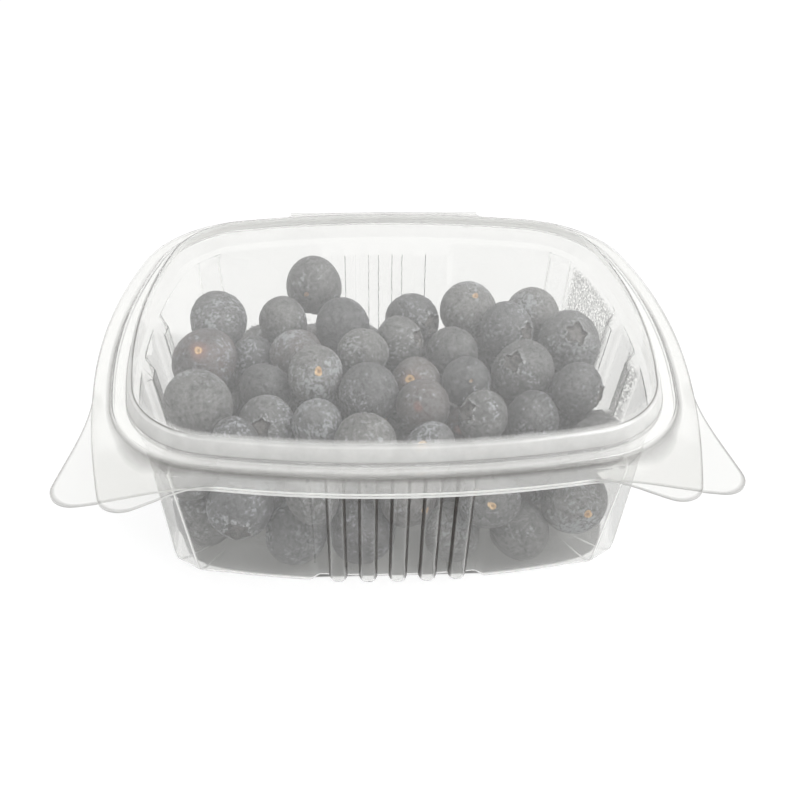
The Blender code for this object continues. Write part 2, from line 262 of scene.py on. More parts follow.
def marks(places, section, lines):
    """For every point of the rings: how milky the sheet is, and how dark a line a bend draws.

    The corner facets meet in milky edges, and painted shade draws dark lines where the ribs and
    side recesses turn into the wall. The front lip is milky where it was cut, and painted shade
    makes the rest of the rim grey there. Each (inset, height, width, at the sides, at the front) in
    lines is a line of painted shade along a bend of the section. At the back, where they are seen
    against the light, all of these are fainter.
    """
    y, angles, x = places
    inset, height, recess, rib, facet, haze, rim = section.T[:, :, None]
    on_lip = rim > LIP_SHARE
    edges = np.exp(-((angles[:, None] - FACET_EDGES[1:3]) / FACET_EDGE_WIDTH) ** 2).sum(axis=1)
    milky = [np.tile(haze, len(y)), haze + FACET_HAZE * facet ** 2 * edges, np.tile(haze, len(x))]
    lip = np.maximum(milky[2], CUT_EDGE_HAZE * on_lip)
    off = [((inset - line[0]) ** 2 + (height - line[1]) ** 2) / line[2] ** 2 for line in lines]
    near = [np.exp(-far) for far in off]
    # Painted shade: dark lines along the cut edge and along the bends of the section.
    beside = CUT_EDGE_SHADE * on_lip + sum(share * line[3] for share, line in zip(near, lines))
    before = CUT_EDGE_SHADE * on_lip + sum(share * line[4] for share, line in zip(near, lines))
    sideways = eased((FRONT_ANGLE - angles) / CORNER_BLEND)
    bend_shade = [
        np.maximum(beside, RECESS_FLANK_SHADE * recess * side_flank(y)),
        beside * sideways + before * (1 - sideways),
        np.tile(before, len(x)),
    ]
    ribbed = np.maximum(bend_shade[2] * ~on_lip, RIB_FLANK_SHADE * rib.clip(0, 1) * rib_flank(x))
    fading = 1 - (1 - BACK_SHARE) * eased(y / EAR_ROOT_Y)
    fading = np.concatenate([fading, np.full(len(angles) + len(x), BACK_SHARE)])
    back = fading * np.stack([np.concatenate(part, axis=1) for part in (milky, bend_shade)])
    halves = (milky[:2] + [lip], bend_shade[:2] + [ribbed])
    fore = np.stack([np.concatenate(part, axis=1) for part in halves])
    return np.concatenate([back, back[..., -2::-1], fore[..., 1:], fore[..., -2:0:-1]], axis=2)


def paired(x, y):
    """Points from their x and y, where either may be one row for every ring."""
    return np.stack(np.broadcast_arrays(x, y), axis=-1)


def rings(places, section, ear=None):
    """Closed rings of points, one for each row of a section, from four mirrored quarters.

    A row is (inset, height, recess, rib, facet, haze, rim): rim is 1 on the cut edge, where the
    front lip, the ears and the hinge leaf reach out, and falls to 0 at the flange's inner edge.
    """
    y, angles, x = places
    inset, height, recess, rib, facet, haze, rim = section.T[:, :, None]
    side = paired(side_distance(y, inset + recess * side_flute(y)), y)
    ahead = paired(x, front_distance(x, inset + front_flute(x, recess, rib)))
    behind = front_distance(x, inset + front_flute(x, recess, BACK_RIB * rib))
    behind = behind + rim * HINGE_LEAF * eased((HINGE_HALF + LEAF_CORNER - x) / LEAF_CORNER)
    turned = np.broadcast_to(angles, (len(section), len(angles)))
    corner = corner_run(turned, inset, facet, height)
    back = np.concatenate([side, corner, paired(x, behind)], axis=1)
    eared = corner
    lip = ahead + rim[..., None] * [0.0, FRONT_LIP]
    if ear is not None:
        edge = ear_run(side[0, -1] * [1, -1], lip[0, 0] * [1, -1], ear, len(angles)) * [1, -1]
        inner = corner[int(np.argmin(section[:, 6] > 0))]
        reach = rim[..., None]
        eared = np.where(reach > 0, edge * reach + inner * (1 - reach), corner)
    fore = np.concatenate([side, eared, lip], axis=1)
    upper = np.concatenate([back, back[:, -2::-1] * [-1, 1]], axis=1)
    lower = np.concatenate([fore[:, 1:] * [-1, -1], fore[:, -2:0:-1] * [1, -1]], axis=1)
    outline = np.concatenate([upper, lower], axis=1)
    flat = np.broadcast_to(height[..., None], (*outline.shape[:2], 1))
    return np.concatenate([outline + [0.0, TUB_Y], flat], axis=-1)


LONGEST_BEND = 0.48


def rounded(points, bends, steps=5):
    """A section through corner points, each corner drawn as a parabola of about its bend radius.

    A bend takes no more than its share of either leg, so that two bends never meet.
    """
    rows = [points[:1]]
    share = np.linspace(0, 1, steps)[:, None]
    for before, corner, after, bend in zip(points, points[1:], points[2:], bends):
        into, out_of = before - corner, after - corner
        reach = [np.hypot(*leg[:2]) for leg in (into, out_of)]
        cosine = into[:2] @ out_of[:2] / (reach[0] * reach[1])
        back_off = bend * math.sqrt((1 + cosine) / max(1 - cosine, 1e-6))
        start = corner + into * min(back_off / reach[0], LONGEST_BEND)
        end = corner + out_of * min(back_off / reach[1], LONGEST_BEND)
        rows.append((1 - share) ** 2 * start + 2 * share * (1 - share) * corner + share ** 2 * end)
    rows.append(points[-1:])
    return np.concatenate(rows)


def closing_rows(ring, shares):
    """Rings drawn in towards the middle of the last one, each a share of its size."""
    middle = ring.mean(axis=0)
    return middle + (ring - middle) * np.array(shares)[:, None, None], middle


def new_piece(name, points, faces, facts=()):
    """A piece from points and lists of faces, with a value at every point for each named fact."""
    mesh = bpy.data.meshes.new(name)
    faces = [face for part in faces for face in part.tolist()]
    mesh.from_pydata(points.reshape(-1, 3).tolist(), [], faces)
    for fact, values in dict(facts).items():
        layer = mesh.attributes.new(fact, "FLOAT", "POINT")
        layer.data.foreach_set("value", values.ravel().astype(np.float32))
    piece = bpy.data.objects.new(name, mesh)
    bpy.context.scene.collection.objects.link(piece)
    return piece


def thickened(piece, thickness):
    """Gives an open sheet its thickness for good, with smooth faces and sharp cut edges."""
    wall = piece.modifiers.new("sheet", "SOLIDIFY")
    wall.thickness = thickness
    wall.offset = 0.0
    wall.use_even_offset = True
    bpy.context.view_layer.update()
    seen = piece.evaluated_get(bpy.context.evaluated_depsgraph_get())
    piece.data = bpy.data.meshes.new_from_object(seen)
    piece.modifiers.clear()
    piece.data.shade_smooth()
    piece.data.set_sharp_from_angle(angle=math.radians(50))
    return piece


SAG = 0.10 * MM
SAG_WAVES = (15.0 * MM, 19.0 * MM)
RIM_BAND = 3.0 * MM
RIM_STOCK = 0.42
EAR_STOCK_REACH = 4.0 * MM


def formed_sheet(name, section, places, lines, ear, shares, thickness):
    """A sheet through the rings of a section, closed towards its middle by a fan.

    Its thickness is set half each way. Besides its marks it carries stock, how little the sheet
    was drawn: 1 on the ears, which keep its whole thickness, and the rim's share near the rim.
    The rows in the middle sag in slow waves.
    """
    outer = rings(places, section, ear)
    inner, tip = closing_rows(outer[-1], shares)
    waves = np.sin(inner[..., 0] / SAG_WAVES[0] + 1.0) * np.sin(inner[..., 1] / SAG_WAVES[1])
    inner[..., 2] += SAG * waves
    grid = np.concatenate([outer, inner])
    haze, crease_shade = marks(places, section, lines)
    blank = np.zeros(inner.shape[:2])
    undrawn = RIM_STOCK * (section[:, 1:2] > RIM_Z - RIM_BAND)
    beyond = np.linalg.norm(outer - rings(places, section), axis=-1)
    stock = np.maximum(undrawn, eased(beyond / EAR_STOCK_REACH))
    # The crease values are painted shade, dark lines along the bends.
    facts = {
        "haze": np.concatenate([haze, blank + section[-1, 5]]),
        "stock": np.concatenate([stock, blank + undrawn[-1]]),
        "crease_shade": np.concatenate([crease_shade, blank]),
    }
    facts = {fact: np.append(values, values[-1, 0]) for fact, values in facts.items()}
    levels, count = grid.shape[:2]
    index = np.arange(levels * count).reshape(levels, count)
    after = np.roll(index, -1, axis=1)
    quads = np.stack([index[:-1], after[:-1], after[1:], index[1:]], axis=-1).reshape(-1, 4)
    fan = np.stack([index[-1], after[-1], np.full(count, levels * count)], axis=-1)
    points = np.concatenate([grid.reshape(-1, 3), [tip]])
    return thickened(new_piece(name, points, (quads, fan), facts), thickness)


class Flow:
    """A value or colour flowing out of one node of a material; arithmetic on it adds Math nodes."""

    def __init__(self, socket):
        self.socket = socket
        self.tree = socket.id_data

    def node(self, kind, settings=(), inputs=(), output=0):
        """Adds any node: its settings first, then its sockets' values or links."""
        made = self.tree.nodes.new(kind)
        for name, value in dict(settings).items():
            setattr(made, name, value)
        for name, value in dict(inputs).items():
            if isinstance(value, Flow):
                self.tree.links.new(value.socket, made.inputs[name])
            else:
                made.inputs[name].default_value = value
        return Flow(made.outputs[output])

    def math(self, operation, *values, clamp=False):
        """One Math node; which flow it is called on doesn't matter."""
        settings = {"operation": operation, "use_clamp": clamp}
        return self.node("ShaderNodeMath", settings, dict(enumerate(values)))

    def __add__(self, other):
        return self.math("ADD", self, other)

    __radd__ = __add__

    def __sub__(self, other):
        return self.math("SUBTRACT", self, other)

    def __rsub__(self, other):
        return self.math("SUBTRACT", other, self)

    def __mul__(self, other):
        return self.math("MULTIPLY", self, other)

    __rmul__ = __mul__

    def __truediv__(self, other):
        return self.math("DIVIDE", self, other)

    def __pow__(self, other):
        return self.math("POWER", self, other)

    def held(self):
        """The value kept between 0 and 1."""
        return self.math("ADD", self, 0.0, clamp=True)

    def rise(self, low, high):
        """0 at low, 1 at high and a smooth climb between them; low may be the larger."""
        inputs = {"Value": self, "From Min": low, "From Max": high}
        return self.node("ShaderNodeMapRange", {"interpolation_type": "SMOOTHSTEP"}, inputs)

    def noise(self, scale, detail=2.0, roughness=0.5, swirl=0.0):
        """Cloudy noise from 0 to 1 over these coordinates, scale in waves per metre."""
        inputs = {"Vector": self, "Scale": scale, "Detail": detail, "Roughness": roughness}
        return self.node("ShaderNodeTexNoise", (), {**inputs, "Distortion": swirl})

    def axis(self, which):
        """One of the three coordinates."""
        return self.node("ShaderNodeSeparateXYZ", (), {"Vector": self}, which)

    def fact(self, name):
        """The value that the piece carries at every point under this name."""
        return self.node("ShaderNodeAttribute", {"attribute_name": name}, (), "Fac")

    def bump(self, strength, depth, height):
        """The surface's normal tipped by a height, as if the surface rose by the depth at most."""
        inputs = {"Strength": strength, "Distance": depth, "Height": height}
        return self.node("ShaderNodeBump", (), inputs)

    def mixed(self, low, high):
        """The colour low where this is 0 and high where it is 1; a plain colour is three numbers."""
        low, high = (end if isinstance(end, Flow) else (*end, 1.0) for end in (low, high))
        settings = {"data_type": "RGBA", "clamp_factor": True}
        return self.node("ShaderNodeMix", settings, {"Factor": self, 6: low, 7: high}, 2)

    def blended(self, low, high):
        """The shader low where this is 0 and high where it is 1."""
        return self.node("ShaderNodeMixShader", (), {"Fac": self, 1: low, 2: high})


def new_finish(name, **constants):
    """A material, its Principled shader with its constants set, and its object coordinates."""
    material = bpy.data.materials.new(name)
    material.use_nodes = True
    shader = material.node_tree.nodes["Principled BSDF"]
    for socket, value in constants.items():
        shader.inputs[socket.replace("_", " ")].default_value = value
    place = Flow(material.node_tree.nodes.new("ShaderNodeTexCoord").outputs["Object"])
    return material, shader, place


def attach(flow, shader, socket):
    flow.tree.links.new(flow.socket, shader.inputs[socket])


WALL_CLEAR = ((0.925, 0.925, 0.915), (0.945, 0.945, 0.938))
EAR_CLEAR = (0.85, 0.85, 0.838)
PEBBLE_GREY = (0.38, 0.38, 0.37)
EDGE_ON_PAINTED_SHADE = (0.70, 0.69, 0.67)
MILK = ((0.88, 0.88, 0.865), (0.82, 0.82, 0.805))
PAINTED_CREASE_SHADE = (0.030, 0.022, 0.016, 1.0)
LET_THROUGH = (0.92, 0.92, 0.92, 1.0)


def clear_plastic():
    """Clear formed sheet: glassy and faintly grey, milky where it is cut or drawn, with rub marks.

    Where it is seen edge on, painted shade turns it darker, and painted shade draws dark lines
    along its bends. It lets the lamps through to what it holds. Two patches of wall at one corner,
    a wide one and a narrow one, are pebbled.
    """
    material, shader, place = new_finish("clear_plastic", IOR=1.5, Transmission_Weight=1.0)
    scuffs = place.noise(420.0, 2.0, 0.6)
    drift = place.noise(45.0, 2.0, 0.5)
    stock = place.fact("stock")
    attach(0.02 + 0.10 * scuffs.rise(0.55, 0.75), shader, "Roughness")
    x, y, z = (place.axis(k) for k in range(3))
    wide_patch = x.rise(0.045, 0.048) * y.rise(0.009, 0.013) * y.rise(0.041, 0.037)
    narrow_patch = x.rise(0.050, 0.052) * y.rise(-0.001, -0.003) * y.rise(-0.013, -0.011)
    on_wall = z.rise(0.016, 0.019) * z.rise(0.036, 0.034)
    pebbles = place.noise(1500.0, 0.5, 0.5).rise(0.46, 0.56) * (wide_patch + narrow_patch) * on_wall
    clear = pebbles.held().mixed(stock.mixed(drift.mixed(*WALL_CLEAR), EAR_CLEAR), PEBBLE_GREY)
    # Painted shade: the sheet's colour turns grey where it is seen edge on.
    edge_on_shade = place.node("ShaderNodeLayerWeight", output="Facing").rise(0.78, 0.98)
    attach(edge_on_shade.mixed(clear, EDGE_ON_PAINTED_SHADE), shader, "Base Color")
    grain = place.noise(120.0, 2.0, 0.5) * 0.7 + scuffs * 0.3 + pebbles * 1.0
    attach(place.bump(0.25, 0.00012, grain), shader, "Normal")
    milk = {"Base Color": stock.mixed(*MILK), "Roughness": 0.35}
    milk = place.node("ShaderNodeBsdfPrincipled", (), milk)
    haze = place.fact("haze") * (0.8 + 0.4 * place.noise(260.0, 3.0, 0.6))
    body = haze.blended(Flow(shader.outputs["BSDF"]), milk)
    # Painted shade: a dark finish mixed in along the bends where the crease values say.
    crease_shade_finish = {"Base Color": PAINTED_CREASE_SHADE, "Roughness": 0.5}
    crease_shade_finish = place.node("ShaderNodeBsdfPrincipled", (), crease_shade_finish)
    body = (place.fact("crease_shade") * (0.35 + 1.3 * drift)).held().blended(body, crease_shade_finish)
    through = place.node("ShaderNodeBsdfTransparent", (), {"Color": LET_THROUGH})
    shadow = place.node("ShaderNodeLightPath", output="Is Shadow Ray")
    surface = material.node_tree.nodes["Material Output"].inputs["Surface"]
    material.node_tree.links.new(shadow.blended(body, through).socket, surface)
    return material


SECTION_UNITS = [MM, MM, 1, 1, 1, 1]
LINE_UNITS = [MM, MM, MM, 1, 1]
FLANGE_SHARES = np.array([0.0, 0.012, 0.06, 0.12, 0.4, 0.7])


def full_section(points, bends):
    """A whole section: rows across the flat flange, milky on its cut edge, then the rounded form."""
    formed = rounded(np.array(points) * SECTION_UNITS, bends)
    flange = np.zeros((len(FLANGE_SHARES), 7))
    flange[:, 0] = formed[0, 0] * FLANGE_SHARES
    flange[:, 1] = formed[0, 1]
    flange[:, 5] = np.where(FLANGE_SHARES == 0, CUT_EDGE_HAZE, formed[0, 5])
    flange[:, 6] = 1 - FLANGE_SHARES
    return np.concatenate([flange, np.column_stack([formed, np.zeros(len(formed))])])


PLASTIC = clear_plastic()
TRAY_EAR = {"tip": np.array([68.4, -61.7]) * MM, "legs": (97.0, 173.0), "radius": 5.0 * MM}
TRAY_SECTION = [
    # inset, height, recess, rib, facet, haze
    (3.8, 40.65, 0.0, 0.0, 0.0, 0.04),
    (4.7, 41.5, 0.0, 0.0, 0.0, 0.10),
    (7.0, 41.5, 0.0, 0.0, 0.0, 0.06),
    (7.9, 37.9, 0.0, 0.0, 0.0, 0.05),
    (9.0, 36.6, 0.0, 0.0, 0.15, 0.06),
    (9.2, 33.6, 1.0, 1.0, 1.0, 0.02),
    (12.6, 4.6, 1.0, 1.0, 1.0, 0.02),
    (13.1, 1.1, 0.95, 1.15, 1.0, 0.05),
    (15.4, 0.2, 0.5, 1.35, 1.0, 0.08),
    (20.2, 0.2, 0.0, 0.0, 0.6, 0.05),
    (22.8, 1.0, 0.0, 0.0, 0.6, 0.05),
    (24.0, 1.0, 0.0, 0.0, 0.5, 0.03),
]
TRAY_BENDS = np.array([0.5, 0.5, 0.5, 0.7, 1.2, 3.0, 1.6, 1.6, 0.8, 0.8]) * MM
# A line of painted shade along the bend at the foot.
TRAY_SHADE_LINES = np.array([(14.2, 0.65, 0.16, 0.4, 0.4)]) * LINE_UNITS
TRAY_SHARES = (0.75, 0.5, 0.25, 0.06)
section = full_section(TRAY_SECTION, TRAY_BENDS)
places = stations(fluted=True)
tray = formed_sheet("tray_sheet", section, places, TRAY_SHADE_LINES, TRAY_EAR, TRAY_SHARES, SHEET)
tray.data.materials.append(PLASTIC)
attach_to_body(tray, "tray")
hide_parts("tray")

# ---------------------------------------------------------------------------------------------
# The berries: ripe blueberries, round and a little flat, each with a five-pointed crown round a
# shallow cup at one end and a small dry stem scar at the other. They lie loose, and a waxy bloom
# covers their skins wherever it hasn't been rubbed away.
# ---------------------------------------------------------------------------------------------
# Berries on the top and at the front: x, y and depth below the rim of the centre, radius, then the
# way its crown points as a heading and a rise in degrees, redness, bloom, and how plain its scar is.
SHOWN = [
    (-20.0, 25.5, 4.0, 7.7, 75, -10, 0.0, 0.40, 0.5),
    (-27.6, 13.5, 8.0, 6.4, 60, -30, 0.0, 0.45, 0.0),
    (-12.2, 10.0, 8.3, 7.7, 95, -25, 0.0, 0.25, 0.0),
    (-44.5, 14.5, 9.3, 7.8, 110, -70, 0.0, 0.65, 0.0),
    (-46.0, -2.5, 9.2, 8.0, 86, -56, 0.9, 0.50, 0.7),
    (6.6, 18.5, 11.0, 7.5, -41, 15, 0.0, 0.20, 0.0),
    (2.5, 5.0, 9.8, 6.5, -26, 28, 0.0, 0.45, 0.0),
    (21.0, 18.5, 9.0, 7.9, 115, -64, 0.0, 0.65, 0.6),
    (38.5, 18.0, 9.5, 7.2, 80, -30, 0.0, 0.75, 0.0),
    (30.0, 6.5, 7.6, 7.1, -44, 20, 0.0, 0.70, 0.0),
    (45.0, 2.0, 10.0, 7.9, -87, 51, 0.0, 0.75, 0.0),
    (-7.0, -2.5, 7.0, 6.0, 100, -35, 0.0, 0.50, 0.0),
    (15.6, 1.5, 10.8, 6.9, 60, -25, 0.0, 0.35, 0.0),
    (-23.5, 1.5, 10.5, 6.5, 110, -30, 0.7, 0.60, 0.0),
    (-18.5, -10.5, 7.5, 6.8, 103, -41, 0.0, 0.80, 0.85),
    (5.0, -8.5, 12.5, 6.3, 61, -42, 0.45, 0.30, 1.0),
    (16.9, -10.5, 10.2, 6.0, 98, -35, 0.0, 0.40, 0.4),
    (31.5, -8.5, 10.5, 7.7, -136, 49, 0.0, 0.35, 0.0),
    (43.5, -16.0, 8.4, 6.4, -34, 5, 0.1, 0.55, 0.0),
    (-5.5, -16.5, 9.0, 7.2, 90, -65, 0.0, 0.40, 0.0),
    (5.4, -20.5, 9.8, 6.4, 70, -35, 0.55, 0.35, 0.0),
    (-31.0, -9.0, 12.5, 6.4, 52, 18, 0.0, 0.30, 0.6),
    (-45.5, -19.5, 9.3, 8.1, 120, -70, 0.0, 0.55, 0.0),
    (-30.0, -21.0, 14.0, 6.8, -99, 34, 0.0, 0.65, 0.0),
    (-18.5, -24.5, 11.0, 5.9, 60, -25, 0.0, 1.00, 0.0),
    (19.7, -24.5, 10.2, 6.2, -159, 35, 0.0, 0.45, 0.0),
    (32.0, -22.5, 13.0, 6.7, 80, -30, 0.0, 0.35, 0.0),
    (-35.7, -31.5, 10.5, 5.9, 95, -20, 0.0, 0.45, 0.0),
    (-7.2, -32.0, 11.5, 7.4, 85, -70, 0.0, 0.50, 0.0),
    (6.5, -33.0, 13.0, 6.2, 57, -46, 0.0, 0.65, 1.1),
    (30.0, -34.0, 13.5, 6.1, 60, -20, 0.0, 0.55, 0.0),
    (46.0, -30.0, 13.5, 6.8, -126, 41, 0.1, 0.70, 0.0),
    (-34.5, -38.5, 28.5, 7.5, -91, -8, 0.0, 0.70, 0.0),
    (-44.0, -33.5, 34.0, 7.2, 60, -25, 0.0, 0.45, 0.0),
    (-26.0, -38.0, 33.5, 7.5, 120, -25, 0.0, 0.80, 0.0),
    (-9.5, -37.5, 33.5, 7.4, 90, -30, 0.2, 0.55, 0.0),
    (12.5, -37.5, 34.0, 6.8, 100, -25, 0.0, 1.00, 0.0),
    (24.5, -39.0, 26.5, 6.8, 89, -31, 0.0, 0.50, 0.72),
    (37.5, -37.5, 30.0, 7.7, 104, -17, 0.0, 0.85, 0.75),
    (31.0, -36.0, 34.0, 7.0, 80, -30, 0.0, 0.40, 0.0),
    (-19.0, -40.0, 18.5, 6.2, 60, -30, 0.0, 0.50, 0.0),
    (-35.5, 6.0, 14.0, 6.4, 60, -25, 0.0, 0.35, 0.0),
]
LAYERS = (8.0 * MM, 20.0 * MM)
BERRY_PITCH = 14.4 * MM
ROW_SHARE = 0.87
STRAY = 0.6 * MM
MEAN_RADIUS, RADIUS_SPREAD = 7.1, 0.45
LEAST_RADIUS, MOST_RADIUS = 6.0, 8.0
BACK_SLOPE_Y = 29.0 * MM
ROOF_Z = 45.1 * MM
FLOOR_Z = 1.4 * MM
WALL_INSET = 8.7 * MM
WALL_TOP = RIM_Z - 4.5 * MM
WALL_SLOPE = 0.11
WALL_GAP = 0.5 * MM
FLUTE_MARGIN = 3 * MM


def kept_in(centres, radii):
    """Centres moved back inside the tray's arcs, its floor and its lid, by each berry's radius."""
    x, y, z = (centres - [0.0, TUB_Y, 0.0]).T
    inset = WALL_INSET + WALL_SLOPE * (WALL_TOP - z) + radii + WALL_GAP
    pressed = inset + RECESS_DEPTH * (np.abs(x) < FRONT_RECESS + FLUTE_MARGIN)
    drop = FRONT_ARC - RIM_HALF_Y
    reach = np.hypot(x, np.abs(y) + drop)
    keep = np.minimum(1.0, (FRONT_ARC - pressed) / reach)
    x, y = x * keep, np.sign(y) * ((np.abs(y) + drop) * keep - drop)
    recessed = (np.abs(y) < SIDE_RECESS[1] + FLUTE_MARGIN) * (np.abs(y) > 1 * MM)
    pressed = inset + RECESS_DEPTH * recessed
    drop = SIDE_ARC - RIM_HALF_X
    reach = np.hypot(np.abs(x) + drop, y)
    keep = np.minimum(1.0, (SIDE_ARC - pressed) / reach)
    x, y = np.sign(x) * ((np.abs(x) + drop) * keep - drop), y * keep
    over = np.stack([np.abs(x), np.abs(y)], axis=-1) - CORNER_CENTRE
    reach = np.hypot(*over.T)
    in_corner = (over > 0).all(axis=1) & (reach > CORNER_RADIUS - inset)
    keep = np.where(in_corner, (CORNER_RADIUS - inset) / np.maximum(reach, 1e-9), 1.0)
    x = np.where(in_corner, np.sign(x) * (CORNER_CENTRE[0] + over[:, 0] * keep), x)
    y = np.where(in_corner, np.sign(y) * (CORNER_CENTRE[1] + over[:, 1] * keep), y)
    z = np.clip(z, FLOOR_Z + radii * 0.97, ROOF_Z - radii)
    return np.stack([x, y + TUB_Y, z], axis=-1)


ROUNDS = 400
STILL_ROUNDS = 60
SOFTNESS = 0.15 * MM
PUSH = 0.45
SINKING = 0.05 * MM


def settled(centres, radii, freedom):
    """Berries pushed apart where they overlap, kept in the tray, and sinking a little each round."""
    for turn in range(ROUNDS):
        gap = centres[:, None] - centres[None]
        apart = np.linalg.norm(gap, axis=-1) + np.eye(len(radii))
        press = np.clip(radii[:, None] + radii[None] - SOFTNESS - apart, 0.0, None) / apart
        push = (gap * press[..., None]).sum(axis=1) * PUSH
        centres = centres + push * freedom[:, None]
        centres[:, 2] -= SINKING * (freedom > 0.5) * (turn < ROUNDS - STILL_ROUNDS)
        centres = kept_in(centres, radii)
    return centres


MOST_MOVED = 3.5 * MM
ROOM_SHARE = 0.74
SHOWN_FREEDOM = 0.12


def heap(seed):
    """Every berry of the heap: those shown, and two layers beneath them in staggered rows.

    A hidden berry is left out where the wall would move it far, where it would overlap another by
    much, and in the upper layer behind the slope at the back.
    """
    draw = np.random.default_rng(seed)
    shown = np.array(SHOWN)
    centres = shown[:, :3] * [MM, MM, -MM] + [0.0, TUB_Y, RIM_Z]
    radii = shown[:, 3] * MM
    across, along = np.meshgrid(np.arange(-5, 6), np.arange(-5, 6))
    for layer, height in enumerate(LAYERS):
        x = (across + 0.5 * (along % 2) + 0.3 * layer) * BERRY_PITCH
        y = (along + 0.35 * layer) * BERRY_PITCH * ROW_SHARE
        row = np.stack([x.ravel(), y.ravel() + TUB_Y, np.full(x.size, height)], axis=-1)
        row = row + draw.normal(0.0, STRAY, row.shape)
        size = draw.normal(MEAN_RADIUS, RADIUS_SPREAD, len(row))
        size = size.clip(LEAST_RADIUS, MOST_RADIUS) * MM
        moved = np.linalg.norm(kept_in(row, size)[:, :2] - row[:, :2], axis=1)
        fits = moved < MOST_MOVED
        if layer == 1:
            fits &= row[:, 1] < BACK_SLOPE_Y
        row, size = kept_in(row[fits], size[fits]), size[fits]
        apart = np.linalg.norm(row[:, None] - centres[None], axis=-1)
        free = (apart > ROOM_SHARE * (size[:, None] + radii[None])).all(axis=1)
        centres = np.concatenate([centres, row[free]])
        radii = np.concatenate([radii, size[free]])
    freedom = np.where(np.arange(len(radii)) < len(shown), SHOWN_FREEDOM, 1.0)
    centres = settled(centres, radii, freedom)
    hidden = len(radii) - len(shown)
    turned = np.concatenate([np.radians(shown[:, 4]), draw.uniform(0, 2 * math.pi, hidden)])
    rise = np.concatenate([np.radians(shown[:, 5]), np.arcsin(draw.uniform(-1, 1, hidden))])
    red = np.concatenate([shown[:, 6], draw.uniform(0, 1, hidden) ** 6])
    bloom = np.concatenate([shown[:, 7], draw.uniform(0.25, 0.85, hidden)])
    scar = np.concatenate([shown[:, 8], draw.uniform(0.2, 0.65, hidden)])
    facing = [np.cos(rise) * np.cos(turned), np.cos(rise) * np.sin(turned), np.sin(rise)]
    return centres, radii, np.stack(facing, axis=-1), red, bloom, scar


def turned_to(facing, spin):
    """A turn for each berry that takes +Z to the way it faces, after a spin about its own axis."""
    guide = np.where(np.abs(facing[:, 2:]) > 0.9, [[1.0, 0.0, 0.0]], [[0.0, 0.0, 1.0]])
    east = np.cross(guide, facing)
    east = east / np.linalg.norm(east, axis=1)[:, None]
    north = np.cross(facing, east)
    cos, sin = np.cos(spin)[:, None], np.sin(spin)[:, None]
    return np.stack([east * cos + north * sin, north * cos - east * sin, facing], axis=-1)


CROWN_ANGLE = 0.38
SCAR_ANGLE = 0.155
CROWN_ROWS = np.array([0.20, 0.45, 0.66, 0.80, 0.88, 0.95, 1.02, 1.10, 1.22, 1.42])
SCAR_ROWS = np.array([2.2, 1.5, 1.1, 0.8, 0.45])
CUP_DEPTH = 0.05
OVALNESS = 0.07
FAR_OFF = 9.0


def berry_shapes(draw, scar, crown_rows, rows, columns):
    """Berries of radius 1 with their crowns up, and how far each point is from crown edge and scar.

    From polar angle and longitude: a sphere drawn in at its poles, a little oval and waved. The
    crown's edge is a star of radius wide * (0.76 + 0.3 * (1 - |sin 2.5a|)): inside it the skin
    drops to a cup, and on it a narrow ridge stands up, highest at the five points. At the other
    pole is a bell-shaped dimple with a low rim.
    """
    count = len(scar)
    around = (np.arange(columns) * 2 * np.pi / columns)[None, None]
    phase = draw.uniform(0, 2 * np.pi, (8, count, 1, 1))
    star = 1 - np.abs(np.sin(2.5 * around))
    ragged = 0.06 * np.sin(7 * around + phase[4]) + 0.08 * np.sin(3 * around + phase[5])
    wide = CROWN_ANGLE * draw.uniform(0.85, 1.12, (count, 1, 1)) * (0.76 + 0.30 * star + ragged)
    narrow = SCAR_ANGLE * np.maximum(scar, 0.45)[:, None, None]
    uneven = 1 + 0.12 * np.sin(2 * around + phase[6]) + 0.07 * np.sin(3 * around + phase[7])
    narrow = narrow * uneven
    near = np.interp(np.linspace(0, 9, crown_rows), np.arange(10), CROWN_ROWS)[None, :, None] * wide
    far = np.pi - SCAR_ROWS[None, :, None] * narrow
    share = np.linspace(0, 1, rows + 2)[1:-1][None, :, None]
    polar = np.concatenate([near, near[:, -1:] * (1 - share) + far[:, :1] * share, far], axis=1)
    flat = draw.uniform(0.84, 0.96, (count, 1, 1))
    waves = 0.022 * np.sin(2 * around + phase[0]) + 0.014 * np.sin(3 * around + phase[1])
    swell = 1 + (waves + 0.02 * np.sin(2 * polar + phase[2])) * np.sin(polar)
    to_edge = polar / wide
    in_cup = 1 - eased((to_edge - 0.62) / 0.34)
    ridge = (0.020 + 0.040 * star) * np.exp(-((to_edge - 1.05) / 0.12) ** 2)
    cup_floor = flat * math.cos(CROWN_ANGLE) - CUP_DEPTH
    to_scar = (np.pi - polar) / narrow
    dimple = 0.25 * narrow * np.exp(-to_scar ** 2) - 0.012 * np.exp(-((to_scar - 1.5) / 0.4) ** 2)
    reach = np.sin(polar) * swell + 0.3 * ridge
    height = flat * np.cos(polar) * swell
    height = height * (1 - in_cup) + cup_floor * in_cup + ridge + dimple
    oval = draw.uniform(-OVALNESS, OVALNESS, (count, 1, 1))
    east, north = reach * np.cos(around) * (1 + oval), reach * np.sin(around) * (1 - oval)
    poles = np.zeros((count, 2, 3))
    poles[:, 0, 2] = cup_floor[:, 0, 0] + 0.015
    poles[:, 1, 2] = 0.25 * narrow.mean(axis=(1, 2)) - flat[:, 0, 0]
    points = np.stack([east, north, height], axis=-1).reshape(count, -1, 3)
    return np.concatenate([points, poles], axis=1), to_edge, to_scar


